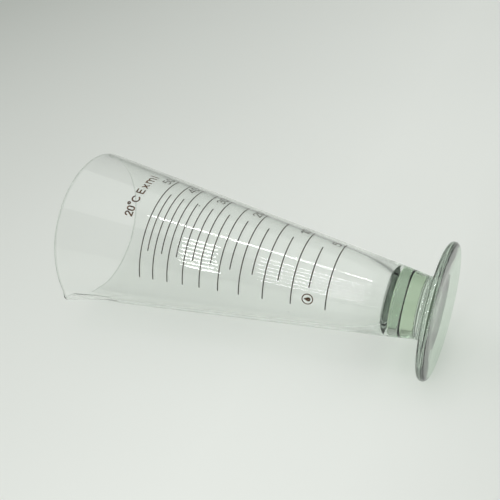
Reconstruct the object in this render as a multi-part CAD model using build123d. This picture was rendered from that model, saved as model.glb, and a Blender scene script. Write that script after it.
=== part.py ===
from build123d import *
import math
import os

# A 50 ml conical measuring glass: a clear conical body with a pouring lip, a
# green glass stem and foot fused under it, and a fired enamel scale outside.
# Millimetres. Z runs up the axis of the glass and the origin lies on it, in
# the plane that the foot rests on. Angles go from +X, where the scale is
# read from, towards +Y.

# ---- driving dimensions: glass ----
TOTAL_HEIGHT = 116.2      # resting plane to mouth plane
MOUTH_RADIUS = 24.6       # outside, at the mouth
OUTER_SLOPE = 0.1361      # outside radius lost for each mm down
RIM_WALL = 1.0            # wall thickness at the mouth
INNER_SLOPE = 0.1386      # the bore narrows faster, so the wall thickens
BOWL_TOP = 31.0           # the straight bore ends here, at the 5 ml line
BOWL_FLOOR = 15.0
BOWL_FLOOR_RADIUS = 7.2   # where the thickening wall would meet the floor
BOWL_CORNER = 2.0         # round between the wall and the floor
WELD_HEIGHT = 13.2        # clear glass above, green glass below
STEM_BASE_HEIGHT = 6.0
STEM_BASE_RADIUS = 9.4
FOOT_RADIUS = 20.5
FOOT_RIM_THICKNESS = 2.4  # its edge is a full round
FLARE_RADIUS = 11.6       # where the flare under the stem meets the foot
FLARE_HEIGHT = 3.5
FLARE_SAG = 0.4           # hollow of the flare
RECESS_RADIUS = 15.5      # hollow under the foot, inside the resting ring
RECESS_DEPTH = 0.7

# ---- driving dimensions: pouring lip ----
LIP_ANGLE = -67.0
LIP_FADE = 15.0           # the lip runs out into the cone this far down
LIP_SHAPE = (             # degrees from the lip's point, mm outwards
    (-60, 0.0), (-45, -1.0), (-27, -1.5), (-10, -1.0),
    (0, 2.3), (8, 1.3), (20, 0.7), (36, 0.0),
)

# ---- driving dimensions: enamel ----
ENAMEL = 0.06             # how far the fired enamel stands off the glass
LINE_WIDTH = 0.36
SCALE_START = 5.0         # ml
SCALE_STEP = 2.5
SCALE_TOP = 50.0
LONG_LINE = (-30.0, 75.0)     # start and end angle
SHORT_LINE = (-5.0, 50.5)
NUMBERED = (5, 10, 20, 30, 40, 50)
NUMERAL_SIZE = 2.35       # height of the figures
NUMERAL_STRETCH = 1.3     # they are drawn wide
NUMERAL_PEN = 0.34
NUMERAL_RISE = 1.2        # bottom of a numeral above its line
NUMERAL_START = 63.5
LEGEND = "20°C Exml"
LEGEND_SIZE = 2.2
LEGEND_PEN = 0.46
LEGEND_HEIGHT = 93.5      # bottom of the letters
LEGEND_START = 19.2
LETTER_GAP = 0.27         # of the letter height
BADGE_HEIGHT = 36.3
BADGE_ANGLE = -20.0
BADGE_RADIUS = 1.7
BADGE_RING = 0.32
DROP_RADIUS = 0.55

# Each character: its width, then its pen strokes in a box of height 1. Two
# points draw a line, three an arc through the middle one.
GLYPHS = {
    " ": (0.08, ()),
    "0": (0.53, (((0, 0.27), (0.265, 0), (0.53, 0.27)),
                 ((0.53, 0.27), (0.53, 0.73)),
                 ((0.53, 0.73), (0.265, 1), (0, 0.73)),
                 ((0, 0.73), (0, 0.27)))),
    "1": (0.28, (((0, 0.76), (0.28, 1)), ((0.28, 1), (0.28, 0)))),
    "2": (0.53, (((0, 0.74), (0.28, 1), (0.53, 0.68)),
                 ((0.53, 0.68), (0, 0)),
                 ((0, 0), (0.55, 0)))),
    "3": (0.54, (((0.02, 0.82), (0.27, 1), (0.50, 0.76)),
                 ((0.50, 0.76), (0.41, 0.59), (0.20, 0.53)),
                 ((0.20, 0.53), (0.45, 0.47), (0.54, 0.28)),
                 ((0.54, 0.28), (0.28, 0), (0, 0.18)))),
    "4": (0.60, (((0.44, 0), (0.44, 1)), ((0.44, 1), (0, 0.30)),
                 ((0, 0.30), (0.60, 0.30)))),
    "5": (0.54, (((0.50, 1), (0.08, 1)), ((0.08, 1), (0.03, 0.56)),
                 ((0.03, 0.56), (0.30, 0.65), (0.54, 0.33)),
                 ((0.54, 0.33), (0.28, 0), (0, 0.14)))),
    "°": (0.34, (((0, 1.1), (0.17, 1.27), (0.34, 1.1)),
                 ((0.34, 1.1), (0.17, 0.93), (0, 1.1)))),
    "C": (0.84, (((0.84, 0.82), (0.42, 1), (0, 0.62)),
                 ((0, 0.62), (0, 0.38)),
                 ((0, 0.38), (0.42, 0), (0.84, 0.18)))),
    "E": (0.94, (((0.15, 0), (0.15, 1)), ((0.15, 1), (0.79, 1)),
                 ((0.15, 0.52), (0.70, 0.52)), ((0.15, 0), (0.79, 0)))),
    "x": (0.90, (((0.15, 0), (0.75, 0.72)), ((0.15, 0.72), (0.75, 0)))),
    "m": (1.70, (((0.15, 0), (0.15, 0.84)),
                 ((0.15, 0.50), (0.50, 0.84), (0.85, 0.50)),
                 ((0.85, 0.50), (0.85, 0)),
                 ((0.85, 0.50), (1.20, 0.84), (1.55, 0.50)),
                 ((1.55, 0.50), (1.55, 0)))),
    "l": (0.30, (((0.22, 0), (0.22, 1.15)),)),
}

CUBIC_MM_PER_ML = 1000.0


def outer_radius(z):
    return MOUTH_RADIUS - OUTER_SLOPE * (TOTAL_HEIGHT - z)


def inner_radius(z):
    return MOUTH_RADIUS - RIM_WALL - INNER_SLOPE * (TOTAL_HEIGHT - z)


def on_arc(centre, radius, angle):
    return (centre[0] + radius * math.cos(angle), 0,
            centre[1] + radius * math.sin(angle))


def make_bowl():
    """Lowest part of the bore: the wall bends inwards, with a round corner."""
    top = inner_radius(BOWL_TOP)
    lean = math.hypot(1, INNER_SLOPE)
    inward = (-1 / lean, INNER_SLOPE / lean)
    run, drop = BOWL_FLOOR_RADIUS - top, BOWL_FLOOR - BOWL_TOP
    bend = (run ** 2 + drop ** 2) / (2 * (run * inward[0] + drop * inward[1]))
    centre = (top + bend * inward[0], BOWL_TOP + bend * inward[1])
    corner_height = BOWL_FLOOR + BOWL_CORNER
    reach = (bend - BOWL_CORNER) ** 2 - (corner_height - centre[1]) ** 2
    corner = (centre[0] + math.sqrt(reach), corner_height)
    start = math.atan2(BOWL_TOP - centre[1], top - centre[0])
    end = math.atan2(corner[1] - centre[1], corner[0] - centre[0])
    wall = [on_arc(centre, bend, angle) for angle in (start, (start + end) / 2, end)]
    turn = -math.pi / 2
    foot = [on_arc(corner, BOWL_CORNER, angle) for angle in ((end + turn) / 2, turn)]
    middle_low, middle_high = (0, 0, BOWL_FLOOR), (0, 0, BOWL_TOP)
    leaving = [(math.sin(angle), 0, -math.cos(angle)) for angle in (start, end)]
    section = make_face([
        Spline(*wall, tangents=leaving),
        ThreePointArc(wall[-1], *foot),
        Line(foot[-1], middle_low),
        Line(middle_low, middle_high),
        Line(middle_high, wall[0]),
    ])
    return revolve(section, Axis.Z)


BOWL = make_bowl()


def level(millilitres):
    """Height at which the glass holds this volume."""
    above_bowl = millilitres * CUBIC_MM_PER_ML - BOWL.volume
    top = inner_radius(BOWL_TOP)
    cubed = top ** 3 + 3 * INNER_SLOPE * above_bowl / math.pi
    return BOWL_TOP + (cubed ** (1 / 3) - top) / INNER_SLOPE


def round_outline(radius, z):
    """Circle at height z that starts where the outline with the lip does."""
    circle = Pos(0, 0, z) * Rot(0, 0, LIP_ANGLE + LIP_SHAPE[0][0])
    return circle * Face(Wire([Edge.make_circle(radius)]))


def lip_outline(radius, z, strength):
    """Closed outline at height z, with the pouring lip at this strength."""
    shape = dict(LIP_SHAPE)
    last, first = LIP_SHAPE[-1][0], LIP_SHAPE[0][0] + 360
    plain = 18
    for i in range(1, plain):
        shape[last + (first - last) * i / plain] = 0.0
    points = []
    for offset in sorted(shape):
        angle = math.radians(LIP_ANGLE + offset)
        r = radius + strength * shape[offset]
        points.append((r * math.cos(angle), r * math.sin(angle), z))
    return Face(Wire([Edge.make_spline(points, periodic=True)]))


def lipped_cone(radius_at, base, overrun):
    """Solid cone from base up, whose top few millimetres open into the lip."""
    seam = TOTAL_HEIGHT - LIP_FADE
    top = TOTAL_HEIGHT + overrun
    sections = [
        round_outline(radius_at(base), base),
        round_outline(radius_at(seam), seam),
        lip_outline(radius_at(top), top, 1 + overrun / LIP_FADE),
    ]
    return loft(sections, ruled=True)


def turned(*corners):
    """Solid of revolution from (radius, height) corners, first one on the axis."""
    points = [(r, 0, z) for r, z in corners]
    return revolve(make_face(Polyline(*points, points[0])), Axis.Z)


def make_body():
    """Clear conical body: thin wall, rounded bottom inside, pouring lip."""
    outside = lipped_cone(outer_radius, WELD_HEIGHT, 0.0)
    bore = lipped_cone(inner_radius, BOWL_TOP, 1.0)
    return outside - bore - BOWL


def make_stem():
    """Solid green glass that carries the body's taper down to the foot."""
    return turned(
        (0, STEM_BASE_HEIGHT),
        (STEM_BASE_RADIUS, STEM_BASE_HEIGHT),
        (outer_radius(WELD_HEIGHT), WELD_HEIGHT),
        (0, WELD_HEIGHT),
    )


def make_foot():
    """Round foot: concave flare, thin disc with a round edge, hollow below."""
    edge = FOOT_RIM_THICKNESS / 2
    disc_radius = FOOT_RADIUS - edge
    flare_mid = (
        STEM_BASE_RADIUS + FLARE_SAG,
        (STEM_BASE_HEIGHT + FLARE_HEIGHT) / 2 - FLARE_SAG,
    )
    dome = (RECESS_RADIUS ** 2 + RECESS_DEPTH ** 2) / (2 * RECESS_DEPTH)
    half_way = math.asin(RECESS_RADIUS / dome) / 2
    dome_mid = (
        dome * math.sin(half_way),
        RECESS_DEPTH - dome * (1 - math.cos(half_way)),
    )

    def at(radius, height):
        return (radius, 0, height)

    stem_edge = at(STEM_BASE_RADIUS, STEM_BASE_HEIGHT)
    flare_end = at(FLARE_RADIUS, FLARE_HEIGHT)
    disc_top = at(disc_radius, FOOT_RIM_THICKNESS)
    disc_base = at(disc_radius, 0)
    crown = at(0, RECESS_DEPTH)
    profile = [
        Line(crown, at(0, STEM_BASE_HEIGHT)),
        Line(at(0, STEM_BASE_HEIGHT), stem_edge),
        ThreePointArc(stem_edge, at(*flare_mid), flare_end),
        Line(flare_end, disc_top),
        ThreePointArc(disc_top, at(FOOT_RADIUS, edge), disc_base),
        Line(disc_base, at(RECESS_RADIUS, 0)),
        ThreePointArc(at(RECESS_RADIUS, 0), at(*dome_mid), crown),
    ]
    return revolve(make_face(profile), Axis.Z)


def make_line(millilitres):
    """One graduation: a thin band of enamel that follows the cone."""
    start, end = SHORT_LINE if millilitres % SCALE_START else LONG_LINE
    low = level(millilitres) - LINE_WIDTH / 2
    high = low + LINE_WIDTH
    section = Polyline(
        (outer_radius(low), 0, low),
        (outer_radius(low) + ENAMEL, 0, low),
        (outer_radius(high) + ENAMEL, 0, high),
        (outer_radius(high), 0, high),
        (outer_radius(low), 0, low),
    )
    band = revolve(make_face(section), Axis.Z, revolution_arc=end - start)
    return Rot(0, 0, start) * band


def print_on_cone(sketch, height, angle):
    """Enamel in the shape of a flat sketch, laid on the cone at this place."""
    box = sketch.bounding_box()
    low = height + box.min.Y - 1
    high = height + box.max.Y + 1
    glass = turned((0, low - 1), (outer_radius(low - 1), low - 1),
                   (outer_radius(high + 1), high + 1), (0, high + 1))
    coated = turned((0, low), (outer_radius(low) + ENAMEL, low),
                    (outer_radius(high) + ENAMEL, high), (0, high))
    inside = outer_radius(height) / 2
    facing = Plane(origin=(inside, 0, height), x_dir=(0, 1, 0), z_dir=(1, 0, 0))
    ray = extrude(facing * sketch, 2 * inside)
    return Rot(0, 0, angle) * ((ray & coated) - glass)


def glyph(character, size, stretch, pen):
    """One character drawn with a round pen, its lower left corner at 0, 0."""
    drawing = Sketch()
    for stroke in GLYPHS[character][1]:
        points = [(x * size * stretch, y * size) for x, y in stroke]
        path = Line(*points) if len(points) == 2 else ThreePointArc(*points)
        drawing += trace(path, line_width=pen)
        for end in (points[0], points[-1]):
            drawing += Pos(*end) * Circle(pen / 2)
    return drawing


def write_round(text, size, stretch, pen, height, start):
    """Text from a starting angle on, each character facing straight outwards."""
    left = 0.0
    pieces = []
    for character in text:
        width = GLYPHS[character][0] * size * stretch
        turn = math.degrees((left + width / 2) / outer_radius(height))
        if GLYPHS[character][1]:
            drawing = Pos(-width / 2, 0) * glyph(character, size, stretch, pen)
            pieces += print_on_cone(drawing, height, start + turn).solids()
        left += width + LETTER_GAP * size
    return Compound(pieces)


def make_numeral(millilitres):
    height = level(millilitres) + NUMERAL_RISE
    return write_round(str(millilitres), NUMERAL_SIZE, NUMERAL_STRETCH,
                       NUMERAL_PEN, height, NUMERAL_START)


def make_legend():
    """Reference temperature, delivery type and unit above the top line."""
    return write_round(LEGEND, LEGEND_SIZE, 1.0, LEGEND_PEN, LEGEND_HEIGHT,
                       LEGEND_START)


def make_badge():
    """Plain round badge: a ring with a small drop in it."""
    ring = Circle(BADGE_RADIUS) - Circle(BADGE_RADIUS - BADGE_RING)
    belly = DROP_RADIUS
    shoulder = (belly * 0.8, belly * 0.6)
    point = (0, belly * 2.2)
    sides = Polyline((-shoulder[0], shoulder[1]), point, shoulder,
                     (-shoulder[0], shoulder[1]))
    drop = Pos(0, -belly * 0.6) * (Circle(belly) + make_face(sides))
    return print_on_cone(ring + drop, BADGE_HEIGHT, BADGE_ANGLE)


def write(shape, node):
    export_step(shape, f"parts/{node}.step")


os.makedirs("parts", exist_ok=True)

write(make_body(), "conical_body")
write(make_stem(), "stem")
write(make_foot(), "foot_disc")

steps = round((SCALE_TOP - SCALE_START) / SCALE_STEP)
for i in range(steps + 1):
    amount = SCALE_START + i * SCALE_STEP
    name = f"line_{amount:04.1f}_ml".replace(".", "_")
    write(make_line(amount), name)

for amount in NUMBERED:
    write(make_numeral(amount), f"numeral_{amount:02d}")

write(make_legend(), "legend")
write(make_badge(), "badge")
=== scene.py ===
import math
import bpy
from mathutils import Matrix, Vector


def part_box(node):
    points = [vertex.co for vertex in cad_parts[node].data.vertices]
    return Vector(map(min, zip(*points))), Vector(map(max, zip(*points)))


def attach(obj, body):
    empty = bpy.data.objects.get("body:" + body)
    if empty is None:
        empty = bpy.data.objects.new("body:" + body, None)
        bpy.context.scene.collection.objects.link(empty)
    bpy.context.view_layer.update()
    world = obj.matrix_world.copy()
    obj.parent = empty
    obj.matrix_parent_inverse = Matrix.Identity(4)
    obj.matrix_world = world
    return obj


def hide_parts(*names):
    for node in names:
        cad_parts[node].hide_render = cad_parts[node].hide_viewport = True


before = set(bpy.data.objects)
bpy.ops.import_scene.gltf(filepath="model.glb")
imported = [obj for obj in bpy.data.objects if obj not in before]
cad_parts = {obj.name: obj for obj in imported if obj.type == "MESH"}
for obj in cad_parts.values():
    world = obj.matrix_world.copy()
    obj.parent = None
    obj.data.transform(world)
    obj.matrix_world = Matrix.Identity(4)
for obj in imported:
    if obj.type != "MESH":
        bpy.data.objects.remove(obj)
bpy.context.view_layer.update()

MM = 0.001


# ---------------------------------------------------------------------------
# Conical body. Clear glass, blown in a mould to a straight cone whose wall gets
# thicker at the bottom; the mouth was melted round and pulled out into a lip.
# ---------------------------------------------------------------------------

MOUTH_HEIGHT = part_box("conical_body")[1].z
MOUTH_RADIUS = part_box("conical_body")[1].x
WELD_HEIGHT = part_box("stem")[1].z
WELD_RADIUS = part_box("stem")[1].x
OUTER_SLOPE = (MOUTH_RADIUS - WELD_RADIUS) / (MOUTH_HEIGHT - WELD_HEIGHT)
RIM_WALL = 1.0 * MM
# Height of a painted dark band of shade round the rim.
PAINTED_RIM_BAND = 0.6 * MM
BORE_SLOPE = OUTER_SLOPE + 0.0025
BOWL_TOP, BOWL_FLOOR = 31.0 * MM, 15.0 * MM
BOWL_FLOOR_RADIUS, BOWL_CORNER = 7.2 * MM, 2.0 * MM
LIP_ANGLE = math.radians(-67)
LIP_FADE = 17 * MM
LIP_REACH = 2.4 * MM
SPAN_BEHIND, SPAN_AHEAD = math.radians(60), math.radians(36)


def add(tree, kind, inputs=None, **settings):
    """Add a node. Each input, by name or number, takes a value or a socket."""
    made = tree.nodes.new(kind)
    for key, value in settings.items():
        setattr(made, key, value)
    for key, value in (inputs or {}).items():
        if isinstance(value, bpy.types.NodeSocket):
            tree.links.new(value, made.inputs[key])
        else:
            made.inputs[key].default_value = value
    return made


def maths(tree, operation, *values):
    node = add(tree, "ShaderNodeMath", dict(enumerate(values)), operation=operation)
    return node.outputs[0]


def new_tree(name, kind, inputs, outputs):
    """Node group with named inputs, each (name, type, value), and outputs."""
    tree = bpy.data.node_groups.new(name, kind)
    for label, socket_type, value in inputs:
        socket = tree.interface.new_socket(label, in_out="INPUT", socket_type=socket_type)
        if value is not None:
            socket.default_value = value
    for label, socket_type in outputs:
        tree.interface.new_socket(label, in_out="OUTPUT", socket_type=socket_type)
    return tree


def lip_tree():
    """Pushes the wall out into a pouring lip, over the last bit of the cone."""
    tree = new_tree("Pouring Lip", "GeometryNodeTree", [
        ("Geometry", "NodeSocketGeometry", None),
        ("Mouth Height", "NodeSocketFloat", 0.1),
        ("Fade", "NodeSocketFloat", 0.01),
        ("Angle", "NodeSocketFloat", 0.0),
        ("Reach", "NodeSocketFloat", 0.0),
    ], [("Geometry", "NodeSocketGeometry")])
    given = add(tree, "NodeGroupInput").outputs
    place = add(tree, "GeometryNodeInputPosition").outputs[0]
    part = add(tree, "ShaderNodeSeparateXYZ", {0: place}).outputs
    turn = maths(tree, "ARCTAN2", part["Y"], part["X"])
    offset = maths(tree, "WRAP", maths(tree, "SUBTRACT", turn, given["Angle"]),
                   math.pi, -math.pi)
    across = add(tree, "ShaderNodeMapRange", {
        "Value": offset, "From Min": -SPAN_BEHIND, "From Max": SPAN_AHEAD}).outputs[0]
    shape = add(tree, "ShaderNodeFloatCurve", {"Value": across})
    points = shape.mapping.curves[0].points
    points[0].location, points[1].location = (0, 0.4), (1, 0.4)
    for spot in ((0.16, 0.24), (0.34, 0.12), (0.53, 0.16), (0.635, 1.0),
                 (0.70, 0.72), (0.83, 0.52)):
        points.new(*spot)
    shape.mapping.update()
    push = add(tree, "ShaderNodeMapRange", {
        "Value": shape.outputs[0], "To Min": -0.667, "To Max": 1.0},
        clamp=False).outputs[0]
    start = maths(tree, "SUBTRACT", given["Mouth Height"], given["Fade"])
    fade = add(tree, "ShaderNodeMapRange", {
        "Value": part["Z"], "From Min": start, "From Max": given["Mouth Height"]}).outputs[0]
    amount = maths(tree, "MULTIPLY", maths(tree, "MULTIPLY", push, given["Reach"]),
                   maths(tree, "POWER", fade, 1.25))
    flat = add(tree, "ShaderNodeCombineXYZ", {"X": part["X"], "Y": part["Y"]}).outputs[0]
    outward = add(tree, "ShaderNodeVectorMath", {0: flat}, operation="NORMALIZE").outputs[0]
    shift = add(tree, "ShaderNodeVectorMath", {0: outward, "Scale": amount},
                operation="SCALE").outputs[0]
    moved = add(tree, "GeometryNodeSetPosition", {
        "Geometry": given["Geometry"], "Offset": shift})
    add(tree, "NodeGroupOutput", {0: moved.outputs[0]})
    return tree


def turning_tree():
    """Turns a profile in the XZ plane into closed glass around Z."""
    tree = new_tree("Turned Glass", "GeometryNodeTree", [
        ("Geometry", "NodeSocketGeometry", None),
        ("Segments", "NodeSocketInt", 64),
        ("Lower Weld", "NodeSocketFloat", 0.0),
        ("Upper Weld", "NodeSocketFloat", 0.0),
        ("Mouth Height", "NodeSocketFloat", 0.1),
        ("Lip Fade", "NodeSocketFloat", 0.01),
        ("Lip Angle", "NodeSocketFloat", 0.0),
        ("Lip Reach", "NodeSocketFloat", 0.0),
        ("Glass", "NodeSocketMaterial", None),
        ("Weld", "NodeSocketMaterial", None),
    ], [("Geometry", "NodeSocketGeometry")])
    given = add(tree, "NodeGroupInput").outputs
    count = add(tree, "GeometryNodeAttributeDomainSize", {
        "Geometry": given["Geometry"]}).outputs["Point Count"]
    last = maths(tree, "SUBTRACT", count, 1)
    rows = add(tree, "GeometryNodeMeshGrid", {
        "Size X": last, "Size Y": math.tau, "Vertices X": count,
        "Vertices Y": maths(tree, "ADD", given["Segments"], 1)})
    place = add(tree, "GeometryNodeInputPosition").outputs[0]
    cell = add(tree, "ShaderNodeSeparateXYZ", {0: place}).outputs
    row = maths(tree, "ROUND", maths(tree, "ADD", cell["X"],
                                     maths(tree, "DIVIDE", last, 2)))
    spot = add(tree, "GeometryNodeSampleIndex", {
        "Geometry": given["Geometry"], "Value": place, "Index": row},
        data_type="FLOAT_VECTOR").outputs[0]
    turned = add(tree, "ShaderNodeVectorRotate", {
        "Vector": spot, "Angle": cell["Y"]}, rotation_type="Z_AXIS").outputs[0]
    lathe = add(tree, "GeometryNodeSetPosition", {
        "Geometry": rows.outputs["Mesh"], "Position": turned}).outputs[0]
    facing = add(tree, "GeometryNodeFlipFaces", {0: lathe}).outputs[0]
    closed = add(tree, "GeometryNodeMergeByDistance", {
        "Geometry": facing, "Distance": 0.0005 * MM}).outputs[0]
    lipped = add(tree, "GeometryNodeGroup", node_tree=lip_tree())
    for name, value in (("Geometry", closed), ("Mouth Height", given["Mouth Height"]),
                        ("Fade", given["Lip Fade"]), ("Angle", given["Lip Angle"]),
                        ("Reach", given["Lip Reach"])):
        tree.links.new(value, lipped.inputs[name])
    height = cell["Z"]
    low = add(tree, "FunctionNodeCompare", {
        "A": height, "B": given["Lower Weld"], "Epsilon": 0.01 * MM},
        data_type="FLOAT", operation="EQUAL").outputs[0]
    high = add(tree, "FunctionNodeCompare", {
        "A": height, "B": given["Upper Weld"], "Epsilon": 0.01 * MM},
        data_type="FLOAT", operation="EQUAL").outputs[0]
    welded = add(tree, "FunctionNodeBooleanMath", {0: low, 1: high},
                 operation="OR").outputs[0]
    free = add(tree, "FunctionNodeBooleanMath", {0: welded}, operation="NOT").outputs[0]
    smooth = add(tree, "GeometryNodeSetShadeSmooth", {
        "Geometry": lipped.outputs[0], "Shade Smooth": free}).outputs[0]
    real = add(tree, "GeometryNodeRealizeInstances", {0: smooth}).outputs[0]
    glazed = add(tree, "GeometryNodeSetMaterial", {
        "Geometry": real, "Material": given["Glass"]}).outputs[0]
    fused = add(tree, "GeometryNodeSetMaterial", {
        "Geometry": glazed, "Selection": welded, "Material": given["Weld"]}).outputs[0]
    add(tree, "NodeGroupOutput", {0: fused})
    return tree


def through_nodes(name, source, tree, values):
    """Run data through a node tree and keep the result as a plain mesh."""
    shaped = bpy.data.objects.new(name, source)
    bpy.context.scene.collection.objects.link(shaped)
    step = shaped.modifiers.new("shape", "NODES")
    step.node_group = tree
    for item in tree.interface.items_tree:
        if item.in_out == "INPUT" and item.name in values:
            step[item.identifier] = values[item.name]
    shaped.update_tag()
    ready = shaped.evaluated_get(bpy.context.evaluated_depsgraph_get())
    mesh = bpy.data.meshes.new_from_object(ready)
    mesh.name = name
    bpy.data.objects.remove(shaped)
    piece = bpy.data.objects.new(name, mesh)
    bpy.context.scene.collection.objects.link(piece)
    return piece


def straight(start, end, steps):
    """Points from start up to, but not including, end."""
    return [tuple(a + (b - a) * i / steps for a, b in zip(start, end))
            for i in range(steps)]


def arc(centre, radius, first, last, steps):
    """Points round a centre, angles in radians, without the last one."""
    sweep = (last - first) / steps
    return [(centre[0] + radius * math.cos(first + sweep * i),
             centre[1] + radius * math.sin(first + sweep * i)) for i in range(steps)]


def profile_mesh(name, points):
    """A chain of (radius, height) points as a mesh in the XZ plane."""
    mesh = bpy.data.meshes.new(name)
    edges = [(i, i + 1) for i in range(len(points) - 1)]
    mesh.from_pydata([(r, 0, z) for r, z in points], edges, [])
    return mesh


def outer_radius(z):
    return MOUTH_RADIUS - OUTER_SLOPE * (MOUTH_HEIGHT - z)


def bore_radius(z):
    return MOUTH_RADIUS - RIM_WALL - BORE_SLOPE * (MOUTH_HEIGHT - z)


def surface_group():
    """What handling leaves on glass: dull smears, faint ripples, a few seeds."""
    tree = new_tree("Glass Surface", "ShaderNodeTree", [
        ("Vector", "NodeSocketVector", None),
        ("Smear Scale", "NodeSocketFloat", 90.0),
        ("Smear", "NodeSocketFloat", 0.05),
        ("Ripple Scale", "NodeSocketFloat", 160.0),
        ("Seed Scale", "NodeSocketFloat", 160.0),
        ("Tint", "NodeSocketColor", (1, 1, 1, 1)),
    ], [("Color", "NodeSocketColor"), ("Roughness", "NodeSocketFloat"),
        ("Height", "NodeSocketFloat")])
    given = add(tree, "NodeGroupInput").outputs
    wiped = add(tree, "ShaderNodeMapping", {
        "Vector": given["Vector"], "Scale": (1.0, 1.0, 0.25)}).outputs[0]
    smear = add(tree, "ShaderNodeTexNoise", {
        "Vector": wiped, "Scale": given["Smear Scale"], "Detail": 5.0,
        "Roughness": 0.62}).outputs[0]
    patch = add(tree, "ShaderNodeMapRange", {
        "Value": smear, "From Min": 0.5, "From Max": 0.8}).outputs[0]
    dull = maths(tree, "MULTIPLY", patch, given["Smear"])
    ripple = add(tree, "ShaderNodeTexNoise", {
        "Vector": wiped, "Scale": given["Ripple Scale"], "Detail": 1.0}).outputs[0]
    cells = add(tree, "ShaderNodeTexVoronoi", {
        "Vector": given["Vector"], "Scale": given["Seed Scale"]})
    lot = add(tree, "ShaderNodeSeparateColor", {0: cells.outputs["Color"]}).outputs[0]
    chosen = maths(tree, "GREATER_THAN", lot, 0.93)
    near = maths(tree, "LESS_THAN", cells.outputs["Distance"], 0.055)
    seed = maths(tree, "MULTIPLY", chosen, near)
    tinted = add(tree, "ShaderNodeMix", {
        "Factor": seed, "A": given["Tint"], "B": (0.42, 0.46, 0.42, 1)},
        data_type="RGBA").outputs["Result"]
    out = add(tree, "NodeGroupOutput")
    tree.links.new(tinted, out.inputs["Color"])
    tree.links.new(dull, out.inputs["Roughness"])
    tree.links.new(maths(tree, "MULTIPLY_ADD", seed, 0.6, ripple), out.inputs["Height"])
    return tree


GLASS_SURFACE = surface_group()


def new_material(name):
    made = bpy.data.materials.new(name)
    made.use_nodes = True
    made.node_tree.nodes.clear()
    return made, made.node_tree


def glass_material(name, tint, edge, shade, smear, ripple, absorbed, density):
    """Glass that lets lamps through and is darker in its depth, with painted shade where it
    is seen edge-on and a painted dark band at the rim.
    """
    made, tree = new_material(name)
    where = add(tree, "ShaderNodeTexCoord").outputs["Object"]
    surface = add(tree, "ShaderNodeGroup", node_tree=GLASS_SURFACE)
    tree.links.new(where, surface.inputs["Vector"])
    surface.inputs["Tint"].default_value = tint
    surface.inputs["Smear"].default_value = smear
    bump = add(tree, "ShaderNodeBump", {
        "Strength": ripple, "Distance": 0.2 * MM,
        "Height": surface.outputs["Height"]}).outputs[0]
    # Painted shade: the colour turns to the edge colour where the glass is seen edge-on and
    # in a thin band at the rim, standing in for darker surroundings seen in the glass there.
    grazing = add(tree, "ShaderNodeLayerWeight", {"Blend": 0.5}).outputs["Facing"]
    height = add(tree, "ShaderNodeSeparateXYZ", {0: where}).outputs["Z"]
    painted_rim_mask = maths(tree, "GREATER_THAN", height, MOUTH_HEIGHT - PAINTED_RIM_BAND)
    painted_edge_colour = add(tree, "ShaderNodeMix", {
        "Factor": maths(tree, "MAXIMUM", maths(tree, "POWER", grazing, 3.0), painted_rim_mask),
        "A": surface.outputs["Color"], "B": edge}, data_type="RGBA").outputs["Result"]
    body = add(tree, "ShaderNodeBsdfPrincipled", {
        "Base Color": painted_edge_colour,
        "Roughness": surface.outputs["Roughness"],
        "IOR": 1.5, "Transmission Weight": 1.0, "Normal": bump}).outputs[0]
    path = add(tree, "ShaderNodeLightPath").outputs
    lamp = maths(tree, "MAXIMUM", path["Is Shadow Ray"], path["Is Diffuse Ray"])
    open_to_lamps = add(tree, "ShaderNodeBsdfTransparent", {"Color": shade}).outputs[0]
    mixed = add(tree, "ShaderNodeMixShader", {
        0: lamp, 1: body, 2: open_to_lamps}).outputs[0]
    depth = add(tree, "ShaderNodeVolumeAbsorption", {
        "Color": absorbed, "Density": density}).outputs[0]
    add(tree, "ShaderNodeOutputMaterial", {"Surface": mixed, "Volume": depth})
    return made


def weld_material():
    """Where two pieces of glass are melted together there is no surface left."""
    made, tree = new_material("melted_joint")
    gone = add(tree, "ShaderNodeBsdfPrincipled", {
        "Base Color": (0.8, 0.9, 0.82, 1), "Alpha": 0.0}).outputs[0]
    add(tree, "ShaderNodeOutputMaterial", {"Surface": gone})
    return made


# The edge colour is painted shade, for the glass seen edge-on and at the rim.
CLEAR_GLASS = glass_material(
    "clear_cone_glass", tint=(0.985, 0.992, 0.985, 1), edge=(0.80, 0.83, 0.80, 1),
    shade=(0.975, 0.978, 0.975, 1), smear=0.03, ripple=0.05,
    absorbed=(0.30, 0.52, 0.34, 1), density=16.0)
MELTED_JOINT = weld_material()
TURNED_GLASS = turning_tree()
SEGMENTS = 240


def bowl_profile():
    """The thickening wall, bent inwards, and a round corner down to the floor."""
    top = bore_radius(BOWL_TOP)
    lean = math.hypot(1, BORE_SLOPE)
    inward = Vector((-1, BORE_SLOPE)) / lean
    run = Vector((BOWL_FLOOR_RADIUS - top, BOWL_FLOOR - BOWL_TOP))
    bend = run.length_squared / (2 * run.dot(inward))
    centre = Vector((top, BOWL_TOP)) + bend * inward
    corner_height = BOWL_FLOOR + BOWL_CORNER
    reach = (bend - BOWL_CORNER) ** 2 - (corner_height - centre.y) ** 2
    corner = Vector((centre.x + math.sqrt(reach), corner_height))
    start = math.atan2(BOWL_TOP - centre.y, top - centre.x)
    end = math.atan2(corner.y - centre.y, corner.x - centre.x)
    points = arc(centre, bend, start, end, 24)
    points += arc(corner, BOWL_CORNER, end, -math.pi / 2, 12)
    return points + straight((corner.x, BOWL_FLOOR), (0, BOWL_FLOOR), 6)


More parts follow.
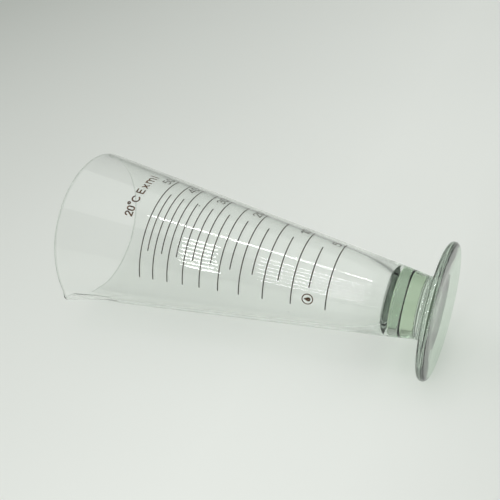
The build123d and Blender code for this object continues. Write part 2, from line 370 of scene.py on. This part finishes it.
def body_profile():
    """Weld, outer wall, round rim, bore and bowl, from axis to axis."""
    rim = RIM_WALL / 2
    rim_height = MOUTH_HEIGHT - rim
    rim_centre = (outer_radius(rim_height) - rim, rim_height)
    bore_start = (bore_radius(rim_height), rim_height)
    points = straight((0, WELD_HEIGHT), (WELD_RADIUS, WELD_HEIGHT), 6)
    points += straight((WELD_RADIUS, WELD_HEIGHT), (outer_radius(rim_height), rim_height), 90)
    points += arc(rim_centre, rim, 0, math.pi, 12)
    points += straight(bore_start, (bore_radius(BOWL_TOP), BOWL_TOP), 72)
    return points + bowl_profile() + [(0, BOWL_FLOOR)]


body = through_nodes("cone_glass", profile_mesh("cone_profile", body_profile()),
                     TURNED_GLASS, {
    "Segments": SEGMENTS, "Lower Weld": WELD_HEIGHT, "Upper Weld": WELD_HEIGHT,
    "Mouth Height": MOUTH_HEIGHT, "Lip Fade": LIP_FADE, "Lip Angle": LIP_ANGLE,
    "Lip Reach": LIP_REACH, "Glass": CLEAR_GLASS, "Weld": MELTED_JOINT})
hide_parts("conical_body")
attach(body, "root")


# ---------------------------------------------------------------------------
# Stem and foot. Pale bottle-green glass, pressed in a mould, the stem melted
# on to the cone's bottom and drawn out in a small flare into the round foot.
# ---------------------------------------------------------------------------

STEM_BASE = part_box("stem")[0].z
STEM_BASE_RADIUS = 9.4 * MM
FOOT_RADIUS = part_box("foot_disc")[1].x
FOOT_EDGE = 1.2 * MM
FLARE_RADIUS, FLARE_HEIGHT = 11.6 * MM, 3.5 * MM
RECESS_RADIUS, RECESS_DEPTH = 15.5 * MM, 0.7 * MM

# The edge colours are painted shade, for the green glass seen edge-on.
STEM_GLASS = glass_material(
    "green_stem_glass", tint=(0.56, 0.69, 0.52, 1), edge=(0.40, 0.53, 0.38, 1),
    shade=(0.88, 0.90, 0.88, 1), smear=0.035, ripple=0.10,
    absorbed=(0.26, 0.50, 0.30, 1), density=1.0)
FOOT_GLASS = glass_material(
    "green_foot_glass", tint=(0.92, 0.97, 0.92, 1), edge=(0.26, 0.44, 0.28, 1),
    shade=(0.90, 0.92, 0.90, 1), smear=0.035, ripple=0.10,
    absorbed=(0.26, 0.50, 0.30, 1), density=9.0)

stem_profile = straight((0, STEM_BASE), (STEM_BASE_RADIUS, STEM_BASE), 6)
stem_profile += straight((STEM_BASE_RADIUS, STEM_BASE), (WELD_RADIUS, WELD_HEIGHT), 16)
stem_profile += straight((WELD_RADIUS, WELD_HEIGHT), (0, WELD_HEIGHT), 6)
stem_profile.append((0, WELD_HEIGHT))

stem = through_nodes("stem_glass", profile_mesh("stem_profile", stem_profile),
                     TURNED_GLASS, {
    "Segments": SEGMENTS, "Lower Weld": STEM_BASE, "Upper Weld": WELD_HEIGHT,
    "Lip Reach": 0.0, "Glass": STEM_GLASS, "Weld": MELTED_JOINT})
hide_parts("stem")
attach(stem, "root")


def foot_profile():
    """Domed hollow, resting ring, round edge, sloping top, flare and joint."""
    dome = (RECESS_RADIUS ** 2 + RECESS_DEPTH ** 2) / (2 * RECESS_DEPTH)
    dome_centre = (0, RECESS_DEPTH - dome)
    dome_half = math.asin(RECESS_RADIUS / dome)
    edge_centre = FOOT_RADIUS - FOOT_EDGE
    slope = math.atan2(FLARE_HEIGHT - 2 * FOOT_EDGE, edge_centre - FLARE_RADIUS)
    points = arc(dome_centre, dome, math.pi / 2, math.pi / 2 - dome_half, 20)
    points += straight((RECESS_RADIUS, 0), (edge_centre, 0), 6)
    points += arc((edge_centre, FOOT_EDGE), FOOT_EDGE, -math.pi / 2,
                  math.pi / 2 - slope, 18)
    top = (edge_centre + FOOT_EDGE * math.sin(slope), FOOT_EDGE * (1 + math.cos(slope)))
    points += straight(top, (FLARE_RADIUS, FLARE_HEIGHT), 12)
    run, rise = FLARE_RADIUS - STEM_BASE_RADIUS, STEM_BASE - FLARE_HEIGHT
    points += [(FLARE_RADIUS - run * math.sin(math.pi / 2 * i / 12),
                FLARE_HEIGHT + rise * (1 - math.cos(math.pi / 2 * i / 12)))
               for i in range(12)]
    points += straight((STEM_BASE_RADIUS, STEM_BASE), (0, STEM_BASE), 6)
    return points + [(0, STEM_BASE)]


foot = through_nodes("foot_glass", profile_mesh("foot_profile", foot_profile()),
                     TURNED_GLASS, {
    "Segments": SEGMENTS, "Lower Weld": STEM_BASE, "Upper Weld": STEM_BASE,
    "Lip Reach": 0.0, "Glass": FOOT_GLASS, "Weld": MELTED_JOINT})
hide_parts("foot_disc")
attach(foot, "root")


# ---------------------------------------------------------------------------
# Graduations. Dark brown enamel, screen-printed round the cone and fired on:
# a long line every 5 ml and a short one half-way between.
# ---------------------------------------------------------------------------

LOWEST_LINE, LINE_STEP, LINE_COUNT = 5, 2.5, 19
ENAMEL_RISE = 0.05 * MM
LINE_WIDTH = 0.34 * MM
LONG_LINE = (-30.0, 75.0)
SHORT_LINE = (-5.0, 50.5)


def print_tree():
    """Lays flat pen strokes on the cone: X is degrees round it, Y is height."""
    tree = new_tree("Fired Print", "GeometryNodeTree", [
        ("Geometry", "NodeSocketGeometry", None),
        ("Pen Width", "NodeSocketFloat", 0.0003),
        ("Rise", "NodeSocketFloat", 0.00005),
        ("Ragged", "NodeSocketFloat", 0.00001),
        ("Step", "NodeSocketFloat", 0.0003),
        ("Middle Angle", "NodeSocketFloat", 0.0),
        ("Mouth Height", "NodeSocketFloat", 0.1),
        ("Mouth Radius", "NodeSocketFloat", 0.02),
        ("Slope", "NodeSocketFloat", 0.1),
        ("Enamel", "NodeSocketMaterial", None),
    ], [("Geometry", "NodeSocketGeometry")])
    given = add(tree, "NodeGroupInput").outputs
    path = add(tree, "GeometryNodeResampleCurve", {
        "Curve": given["Geometry"], "Length": given["Step"]}, mode="LENGTH").outputs[0]
    half = maths(tree, "DIVIDE", given["Pen Width"], 2)
    ring = add(tree, "GeometryNodeCurvePrimitiveCircle", {
        "Resolution": 12, "Radius": 1.0}, mode="RADIUS").outputs["Curve"]
    at = add(tree, "GeometryNodeInputPosition").outputs[0]
    ring_at = add(tree, "ShaderNodeSeparateXYZ", {0: at}).outputs
    lifted = maths(tree, "MULTIPLY", maths(tree, "MAXIMUM", ring_at["Y"], -0.2),
                   given["Rise"])
    dome_at = add(tree, "ShaderNodeCombineXYZ", {
        "X": maths(tree, "MULTIPLY", ring_at["X"], half), "Y": lifted}).outputs[0]
    dome = add(tree, "GeometryNodeSetPosition", {
        "Geometry": ring, "Position": dome_at}).outputs[0]
    upright = add(tree, "GeometryNodeSetCurveNormal", {"Curve": path}, mode="Z_UP")
    stroke = add(tree, "GeometryNodeCurveToMesh", {
        "Curve": upright.outputs[0], "Profile Curve": dome, "Fill Caps": True}).outputs[0]
    ball = add(tree, "GeometryNodeMeshUVSphere", {
        "Segments": 14, "Rings": 8, "Radius": 1.0}).outputs["Mesh"]
    ball_size = add(tree, "ShaderNodeCombineXYZ", {
        "X": half, "Y": half, "Z": given["Rise"]}).outputs[0]
    tips = add(tree, "GeometryNodeCurveEndpointSelection", {
        "Start Size": 1, "End Size": 1}).outputs[0]
    ends = add(tree, "GeometryNodeInstanceOnPoints", {
        "Points": path, "Selection": tips, "Instance": ball,
        "Scale": ball_size}).outputs[0]
    joined = add(tree, "GeometryNodeJoinGeometry")
    tree.links.new(stroke, joined.inputs[0])
    tree.links.new(ends, joined.inputs[0])
    real = add(tree, "GeometryNodeRealizeInstances", {0: joined.outputs[0]}).outputs[0]
    wobble = add(tree, "ShaderNodeTexNoise", {
        "Vector": at, "Scale": 2600.0, "Detail": 2.0}).outputs["Color"]
    centred = add(tree, "ShaderNodeVectorMath", {0: wobble, 1: (0.5, 0.5, 0.5)},
                  operation="SUBTRACT").outputs[0]
    jitter = add(tree, "ShaderNodeVectorMath", {
        0: centred, "Scale": given["Ragged"]}, operation="SCALE").outputs[0]
    rough = add(tree, "GeometryNodeSetPosition", {
        "Geometry": real, "Offset": jitter}).outputs[0]
    glass_at = maths(tree, "SUBTRACT", given["Mouth Radius"], maths(
        tree, "MULTIPLY", given["Slope"],
        maths(tree, "SUBTRACT", given["Mouth Height"], ring_at["Y"])))
    angle = maths(tree, "ADD", maths(tree, "DIVIDE", ring_at["X"], glass_at),
                  given["Middle Angle"])
    reach = maths(tree, "ADD", glass_at, ring_at["Z"])
    round_at = add(tree, "ShaderNodeCombineXYZ", {
        "X": maths(tree, "MULTIPLY", reach, maths(tree, "COSINE", angle)),
        "Y": maths(tree, "MULTIPLY", reach, maths(tree, "SINE", angle)),
        "Z": ring_at["Y"]}).outputs[0]
    wrapped = add(tree, "GeometryNodeSetPosition", {
        "Geometry": rough, "Position": round_at}).outputs[0]
    smooth = add(tree, "GeometryNodeSetShadeSmooth", {"Geometry": wrapped}).outputs[0]
    fired = add(tree, "GeometryNodeSetMaterial", {
        "Geometry": smooth, "Material": given["Enamel"]}).outputs[0]
    add(tree, "NodeGroupOutput", {0: fired})
    return tree


def enamel_group():
    """Fired colour: mottled, thinner and redder in places, with pinholes."""
    tree = new_tree("Fired Colour", "ShaderNodeTree", [
        ("Vector", "NodeSocketVector", None),
        ("Deep", "NodeSocketColor", (0.03, 0.02, 0.015, 1)),
        ("Thin", "NodeSocketColor", (0.12, 0.06, 0.03, 1)),
        ("Mottle Scale", "NodeSocketFloat", 900.0),
        ("Pinhole Scale", "NodeSocketFloat", 5200.0),
    ], [("Color", "NodeSocketColor"), ("Roughness", "NodeSocketFloat"),
        ("Height", "NodeSocketFloat")])
    given = add(tree, "NodeGroupInput").outputs
    mottle = add(tree, "ShaderNodeTexNoise", {
        "Vector": given["Vector"], "Scale": given["Mottle Scale"], "Detail": 4.0,
        "Roughness": 0.6}).outputs[0]
    share = add(tree, "ShaderNodeMapRange", {
        "Value": mottle, "From Min": 0.35, "From Max": 0.68}).outputs[0]
    colour = add(tree, "ShaderNodeMix", {
        "Factor": share, "A": given["Deep"], "B": given["Thin"]},
        data_type="RGBA").outputs["Result"]
    holes = add(tree, "ShaderNodeTexVoronoi", {
        "Vector": given["Vector"], "Scale": given["Pinhole Scale"]}).outputs["Distance"]
    dull = add(tree, "ShaderNodeMapRange", {
        "Value": holes, "From Max": 0.5, "To Min": 0.62, "To Max": 0.34}).outputs[0]
    out = add(tree, "NodeGroupOutput")
    tree.links.new(colour, out.inputs["Color"])
    tree.links.new(dull, out.inputs["Roughness"])
    tree.links.new(holes, out.inputs["Height"])
    return tree


FIRED_COLOUR = enamel_group()


def enamel_material(name, deep, thin):
    made, tree = new_material(name)
    where = add(tree, "ShaderNodeTexCoord").outputs["Object"]
    colour = add(tree, "ShaderNodeGroup", node_tree=FIRED_COLOUR)
    tree.links.new(where, colour.inputs["Vector"])
    colour.inputs["Deep"].default_value = deep
    colour.inputs["Thin"].default_value = thin
    bump = add(tree, "ShaderNodeBump", {
        "Strength": 0.3, "Distance": 0.02 * MM,
        "Height": colour.outputs["Height"]}).outputs[0]
    body = add(tree, "ShaderNodeBsdfPrincipled", {
        "Base Color": colour.outputs["Color"],
        "Roughness": colour.outputs["Roughness"],
        "IOR": 1.55, "Specular IOR Level": 0.22, "Normal": bump}).outputs[0]
    add(tree, "ShaderNodeOutputMaterial", {"Surface": body})
    return made


SCALE_ENAMEL = enamel_material(
    "brown_black_enamel", deep=(0.020, 0.017, 0.012, 1), thin=(0.085, 0.07, 0.05, 1))
FIRED_PRINT = print_tree()


def flat_strokes(name, strokes):
    """Pen strokes, each a list of flat points, as one curve."""
    curve = bpy.data.curves.new(name, "CURVE")
    curve.dimensions = "3D"
    for points in strokes:
        line = curve.splines.new("POLY")
        line.points.add(len(points) - 1)
        for spot, (x, y) in zip(line.points, points):
            spot.co = (x, y, 0, 1)
    return curve


def printed(node, strokes, pen, middle, enamel):
    """Fire flat strokes on to the cone in place of a CAD node."""
    piece = through_nodes(node + "_print", flat_strokes(node + "_flat", strokes),
                          FIRED_PRINT, {
        "Pen Width": pen, "Rise": ENAMEL_RISE, "Ragged": 0.07 * pen,
        "Step": 0.25 * MM, "Middle Angle": middle, "Mouth Height": MOUTH_HEIGHT,
        "Mouth Radius": MOUTH_RADIUS, "Slope": OUTER_SLOPE, "Enamel": enamel})
    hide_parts(node)
    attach(piece, "root")


def middle_height(node):
    low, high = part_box(node)
    return (low.z + high.z) / 2


def line_node(millilitres):
    return f"line_{millilitres:04.1f}_ml".replace(".", "_")


for step in range(LINE_COUNT):
    amount = LOWEST_LINE + LINE_STEP * step
    start, end = SHORT_LINE if step % 2 else LONG_LINE
    node = line_node(amount)
    height = middle_height(node)
    middle = math.radians((start + end) / 2)
    reach = math.radians((end - start) / 2) * outer_radius(height)
    printed(node, [[(-reach, height), (reach, height)]], LINE_WIDTH, middle,
            SCALE_ENAMEL)


# ---------------------------------------------------------------------------
# Figures, legend and badge. The same kind of enamel: the figures over the long
# lines' ends, and in a browner, thicker print the legend and a plain badge.
# ---------------------------------------------------------------------------

FIGURE_SIZE = 2.35 * MM
FIGURE_STRETCH = 1.3
FIGURE_PEN = 0.34 * MM
FIGURE_RISE = 1.2 * MM
FIGURE_START = math.radians(63.5)
LEGEND = "20°C Exml"
LEGEND_SIZE = 2.2 * MM
LEGEND_PEN = 0.46 * MM
LEGEND_HEIGHT = 93.5 * MM
LEGEND_START = math.radians(19.2)
LETTER_GAP = 0.27
BADGE_HEIGHT = 36.3 * MM
BADGE_ANGLE = math.radians(-20)
BADGE_RADIUS = 1.54 * MM
BADGE_PEN = 0.32 * MM
DROP_RADIUS = 0.5 * MM

LEGEND_ENAMEL = enamel_material(
    "brown_enamel", deep=(0.040, 0.020, 0.008, 1), thin=(0.13, 0.062, 0.022, 1))

# Each character: its width, then its pen strokes in a box of height 1. Two
# points draw a line, three an arc through the middle one.
GLYPHS = {
    " ": (0.08, ()),
    "0": (0.53, (((0, 0.27), (0.265, 0), (0.53, 0.27)),
                 ((0.53, 0.27), (0.53, 0.73)),
                 ((0.53, 0.73), (0.265, 1), (0, 0.73)),
                 ((0, 0.73), (0, 0.27)))),
    "1": (0.28, (((0, 0.76), (0.28, 1)), ((0.28, 1), (0.28, 0)))),
    "2": (0.53, (((0, 0.74), (0.28, 1), (0.53, 0.68)),
                 ((0.53, 0.68), (0, 0)),
                 ((0, 0), (0.55, 0)))),
    "3": (0.54, (((0.02, 0.82), (0.27, 1), (0.50, 0.76)),
                 ((0.50, 0.76), (0.41, 0.59), (0.20, 0.53)),
                 ((0.20, 0.53), (0.45, 0.47), (0.54, 0.28)),
                 ((0.54, 0.28), (0.28, 0), (0, 0.18)))),
    "4": (0.60, (((0.44, 0), (0.44, 1)), ((0.44, 1), (0, 0.30)),
                 ((0, 0.30), (0.60, 0.30)))),
    "5": (0.54, (((0.50, 1), (0.08, 1)), ((0.08, 1), (0.03, 0.56)),
                 ((0.03, 0.56), (0.30, 0.65), (0.54, 0.33)),
                 ((0.54, 0.33), (0.28, 0), (0, 0.14)))),
    "°": (0.34, (((0, 1.1), (0.17, 1.27), (0.34, 1.1)),
                 ((0.34, 1.1), (0.17, 0.93), (0, 1.1)))),
    "C": (0.84, (((0.84, 0.82), (0.42, 1), (0, 0.62)),
                 ((0, 0.62), (0, 0.38)),
                 ((0, 0.38), (0.42, 0), (0.84, 0.18)))),
    "E": (0.94, (((0.15, 0), (0.15, 1)), ((0.15, 1), (0.79, 1)),
                 ((0.15, 0.52), (0.70, 0.52)), ((0.15, 0), (0.79, 0)))),
    "x": (0.90, (((0.15, 0), (0.75, 0.72)), ((0.15, 0.72), (0.75, 0)))),
    "m": (1.70, (((0.15, 0), (0.15, 0.84)),
                 ((0.15, 0.50), (0.50, 0.84), (0.85, 0.50)),
                 ((0.85, 0.50), (0.85, 0)),
                 ((0.85, 0.50), (1.20, 0.84), (1.55, 0.50)),
                 ((1.55, 0.50), (1.55, 0)))),
    "l": (0.30, (((0.22, 0), (0.22, 1.15)),)),
}


def bend(first, middle, last, steps=16):
    """Points on the arc that runs through three points."""
    (ax, ay), (bx, by), (cx, cy) = first, middle, last
    d = 2 * (ax * (by - cy) + bx * (cy - ay) + cx * (ay - by))
    a2, b2, c2 = ax * ax + ay * ay, bx * bx + by * by, cx * cx + cy * cy
    x = (a2 * (by - cy) + b2 * (cy - ay) + c2 * (ay - by)) / d
    y = (a2 * (cx - bx) + b2 * (ax - cx) + c2 * (bx - ax)) / d
    radius = math.hypot(ax - x, ay - y)
    start, via, end = (math.atan2(py - y, px - x) for px, py in (first, middle, last))
    sweep = (end - start) % math.tau
    if (via - start) % math.tau > sweep:
        sweep -= math.tau
    return [(x + radius * math.cos(start + sweep * i / steps),
             y + radius * math.sin(start + sweep * i / steps)) for i in range(steps + 1)]


def text_strokes(text, size, stretch, height):
    """Strokes of a text that starts at X = 0, its foot at this height."""
    left = 0.0
    strokes = []
    for letter in text:
        width, drawn = GLYPHS[letter]
        for stroke in drawn:
            points = bend(*stroke) if len(stroke) == 3 else stroke
            strokes.append([(left + x * size * stretch, height + y * size)
                            for x, y in points])
        left += (width * stretch + LETTER_GAP) * size
    return strokes


for amount in (5, 10, 20, 30, 40, 50):
    strokes = text_strokes(str(amount), FIGURE_SIZE, FIGURE_STRETCH,
                           middle_height(line_node(amount)) + FIGURE_RISE)
    printed(f"numeral_{amount:02d}", strokes, FIGURE_PEN, FIGURE_START, SCALE_ENAMEL)

printed("legend", text_strokes(LEGEND, LEGEND_SIZE, 1.0, LEGEND_HEIGHT), LEGEND_PEN,
        LEGEND_START, LEGEND_ENAMEL)


def badge_strokes():
    """A ring with a small drop in it, the drop filled by closing strokes."""
    ring = arc((0, BADGE_HEIGHT), BADGE_RADIUS, 0, math.tau, 48)
    strokes = [ring + [ring[0]]]
    for share in (1.0, 0.45):
        belly = DROP_RADIUS * share
        low = (0, BADGE_HEIGHT - 0.3 * MM)
        tip = (0, low[1] + 2.3 * belly)
        drop = arc(low, belly, math.radians(150), math.radians(390), 20)
        strokes.append([tip] + drop + [tip])
    return strokes


printed("badge", badge_strokes(), BADGE_PEN, BADGE_ANGLE, LEGEND_ENAMEL)


# ---------------------------------------------------------------------------
# Table, lamps and camera. The glass lies on its side on a sheet of pale paper
# that touches the foot and the mouth and is open to views from behind. One
# broad soft lamp hangs over it, and thin ones give the glass its streaks.
# ---------------------------------------------------------------------------

REST_ANGLE = math.radians(-128)
EYE = Vector((0.24873, 0.02019, -0.03358))
TARGET = Vector((0.00006, 0.00428, 0.06158))
EYE_ROLL_UP = Vector((0.0219, 0.9748, 0.2219))
LENS = 62.0
TABLE_REACH = 3.0
# Painted shade on the paper: lightest this far along from where the glass touches, darkening
# between these distances from there.
PAINTED_LIGHT_MIDDLE = 0.03
PAINTED_SHADE_START, PAINTED_SHADE_END = 0.02, 0.36
STRIP_DISTANCE = 0.8

lean = math.atan2(MOUTH_RADIUS - FOOT_RADIUS, MOUTH_HEIGHT - FOOT_EDGE)
down = Vector((math.cos(REST_ANGLE) * math.cos(lean),
               math.sin(REST_ANGLE) * math.cos(lean), -math.sin(lean)))
up = -down
touch = Vector((math.cos(REST_ANGLE) * FOOT_RADIUS,
                math.sin(REST_ANGLE) * FOOT_RADIUS, FOOT_EDGE)) + down * 0.05 * MM
side = up.cross(Vector((0, 0, 1))).normalized()
along = side.cross(up).normalized()


def table_material():
    """Pale mottled paper with painted shade, lit in a pool across the glass and darker far
    beyond mouth and foot; unseen from below.
    """
    made, tree = new_material("pale_paper")
    where = add(tree, "ShaderNodeTexCoord").outputs["Object"]
    cloud = add(tree, "ShaderNodeTexNoise", {
        "Vector": where, "Scale": 7.0, "Detail": 2.0}).outputs[0]
    colour = add(tree, "ShaderNodeMix", {
        "Factor": cloud, "A": (0.80, 0.82, 0.785, 1), "B": (0.84, 0.86, 0.825, 1)},
        data_type="RGBA").outputs["Result"]
    # Painted shade: the paper darkens to grey with distance along the glass from a lit
    # middle, as a pool of light would.
    place = add(tree, "ShaderNodeVectorMath", {0: where, 1: tuple(along)},
                operation="DOT_PRODUCT").outputs["Value"]
    middle = touch.dot(along) + PAINTED_LIGHT_MIDDLE
    painted_shade_distance = maths(tree, "ABSOLUTE", maths(tree, "SUBTRACT", place, middle))
    share = add(tree, "ShaderNodeMapRange", {
        "Value": painted_shade_distance, "From Min": PAINTED_SHADE_START, "From Max": PAINTED_SHADE_END}).outputs[0]
    painted_shade_colour = add(tree, "ShaderNodeMix", {
        "Factor": share, "A": colour, "B": (0.44, 0.46, 0.43, 1)},
        data_type="RGBA").outputs["Result"]
    paper = add(tree, "ShaderNodeBsdfPrincipled", {
        "Base Color": painted_shade_colour, "Roughness": 0.85,
        "Specular IOR Level": 0.2}).outputs[0]
    behind = add(tree, "ShaderNodeNewGeometry").outputs["Backfacing"]
    clear = add(tree, "ShaderNodeBsdfTransparent").outputs[0]
    mixed = add(tree, "ShaderNodeMixShader", {0: behind, 1: paper, 2: clear}).outputs[0]
    add(tree, "ShaderNodeOutputMaterial", {"Surface": mixed})
    return made


sheet = bpy.data.meshes.new("table")
corners = [touch + (side * a + along * b) * TABLE_REACH
           for a, b in ((-1, -1), (1, -1), (1, 1), (-1, 1))]
sheet.from_pydata(corners, [], [(0, 1, 2, 3)])
if sheet.polygons[0].normal.dot(up) < 0:
    sheet.flip_normals()
table = bpy.data.objects.new("table", sheet)
sheet.materials.append(table_material())
bpy.context.scene.collection.objects.link(table)


def lamp(name, way, distance, width, length, watts):
    """Softbox in a direction from the glass, its width running round the axis."""
    light = bpy.data.lights.new(name, "AREA")
    light.shape = "RECTANGLE"
    light.size, light.size_y = width, length
    light.energy = watts
    holder = bpy.data.objects.new(name, light)
    bpy.context.scene.collection.objects.link(holder)
    aim = Vector(way).normalized()
    centre = Vector((0, 0, MOUTH_HEIGHT / 2))
    holder.location = centre + aim * distance
    holder.rotation_mode = "QUATERNION"
    level = Vector((0, 0, 1)).cross(aim).normalized()
    turn = Matrix((level, aim.cross(level), aim)).transposed()
    holder.rotation_quaternion = turn.to_quaternion()
    holder.visible_camera = False


def toward(azimuth, height):
    """Direction from the glass, in degrees round its axis and above square."""
    a, h = math.radians(azimuth), math.radians(height)
    return (math.cos(h) * math.cos(a), math.cos(h) * math.sin(a), math.sin(h))


def strip_row(name, count, first, spacing, height, width, length, watts):
    """Thin lamps side by side round the axis, seen in the glass as streaks."""
    for number in range(count):
        lamp(f"{name}_{number}", toward(first + spacing * number, height),
             STRIP_DISTANCE, width, length, watts)


lamp("overhead_softbox", up - along * 0.1, distance=1.0, width=1.4, length=1.4,
     watts=3.15)
lamp("tube_light", toward(43, 5), distance=0.7, width=0.014, length=0.25, watts=0.6)
strip_row("window_strip", 8, first=-27.0, spacing=7.0, height=9.3,
          width=0.022, length=0.045, watts=0.06)
strip_row("low_strip", 7, first=-24.0, spacing=8.0, height=-0.5,
          width=0.009, length=0.13, watts=0.11)
strip_row("high_strip", 6, first=-4.0, spacing=10.0, height=55,
          width=0.022, length=0.09, watts=0.15)

world = bpy.data.worlds.new("studio")
bpy.context.scene.world = world
world.use_nodes = True
sky = world.node_tree
sky.nodes.clear()
way = add(sky, "ShaderNodeTexCoord").outputs["Generated"]
facing_up = add(sky, "ShaderNodeVectorMath", {0: way, 1: tuple(up)},
                operation="DOT_PRODUCT").outputs["Value"]
height_share = add(sky, "ShaderNodeMapRange", {
    "Value": facing_up, "From Min": -0.2, "From Max": 0.9}).outputs[0]
ramp = add(sky, "ShaderNodeMix", {
    "Factor": height_share, "A": (0.50, 0.52, 0.50, 1), "B": (0.68, 0.70, 0.68, 1)},
    data_type="RGBA").outputs["Result"]
glow = add(sky, "ShaderNodeBackground", {"Color": ramp, "Strength": 0.70}).outputs[0]
add(sky, "ShaderNodeOutputWorld", {"Surface": glow})

lens = bpy.data.cameras.new("camera")
lens.lens = LENS
lens.sensor_width = 36
lens.clip_start = 0.01
camera = bpy.data.objects.new("camera", lens)
bpy.context.scene.collection.objects.link(camera)
look = (TARGET - EYE).normalized()
across = look.cross(EYE_ROLL_UP).normalized()
over = across.cross(look)
turn = Matrix((across, over, -look)).transposed()
camera.location = EYE
camera.rotation_mode = "QUATERNION"
camera.rotation_quaternion = turn.to_quaternion()
bpy.context.scene.camera = camera
bpy.context.scene.view_settings.view_transform = "Standard"
